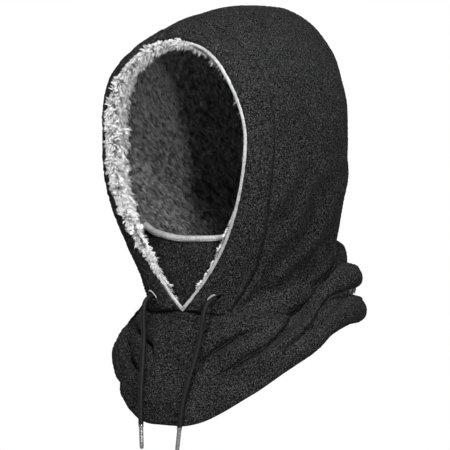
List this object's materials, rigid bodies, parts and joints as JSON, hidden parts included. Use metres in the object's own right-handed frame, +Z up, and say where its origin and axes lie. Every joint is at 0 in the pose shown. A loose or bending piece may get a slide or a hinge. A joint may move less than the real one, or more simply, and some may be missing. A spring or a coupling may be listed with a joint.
{
  "type": "balaclava",
  "caption": "Fleece balaclava: drawcord face opening with plush lining, pull-down mouth panel and flared neck bib.",
  "frame": {"origin": "the point inside the hood's crown, on the centre plane, where the wearer's head touches it", "axes": "+X to the wearer's left, -Y the way the face looks, +Z up"},
  "size_m": [0.249, 0.2529, 0.4414],
  "materials": {
    "fleece": "matt nubby polar fleece, charcoal black",
    "plush_light": "light grey plush pile",
    "plush_dark": "dark grey plush pile",
    "piping": "satin light grey bias binding",
    "mesh_lining": "matt knitted lining",
    "thread": "polyester sewing thread",
    "welt": "buttonhole stitching with a satin edge",
    "cord": "round braided polyester cord",
    "aglet": "rolled steel cord tip"
  },
  "bodies": {
    "hood": {"hood_left_panel": "fleece", "hood_right_panel": "fleece", "hood_lining_left": "plush_dark", "hood_lining_right": "plush_dark", "hood_centre_stitching": "thread", "face_casing": "fleece", "plush_facing": "plush_light", "face_piping": "piping", "casing_stitching": "thread", "drawcord_in_casing": "cord", "buttonhole_left": "welt", "buttonhole_right": "welt", "mouth_panel": "fleece", "mouth_panel_lining": "mesh_lining", "neck_panel": "fleece", "neck_lining": "plush_dark", "neck_seam_stitching": "thread", "hem_stitching": "thread"},
    "mouth_panel_edge": {"mouth_panel_binding": "piping", "binding_stitching": "thread"},
    "cord_tail_left": {"cord_left": "cord", "aglet_left": "aglet"},
    "cord_tail_right": {"cord_right": "cord", "aglet_right": "aglet"}
  },
  "joints": [
    {"name": "mouth_panel_pull", "type": "slide", "parent": "hood", "child": "mouth_panel_edge", "axis": [0, 0, -1], "range_m": [0, 0.03], "deforming": ["mouth_panel", "mouth_panel_lining", "mouth_panel_binding", "binding_stitching"]},
    {"name": "cord_left_swing", "type": "hinge", "parent": "hood", "child": "cord_tail_left", "pos_m": [0.041, -0.066, -0.2813], "axis": [0, -1, 0], "range_deg": [0, 60]},
    {"name": "cord_right_swing", "type": "hinge", "parent": "hood", "child": "cord_tail_right", "pos_m": [-0.041, -0.066, -0.2813], "axis": [0, 1, 0], "range_deg": [0, 60]}
  ]
}
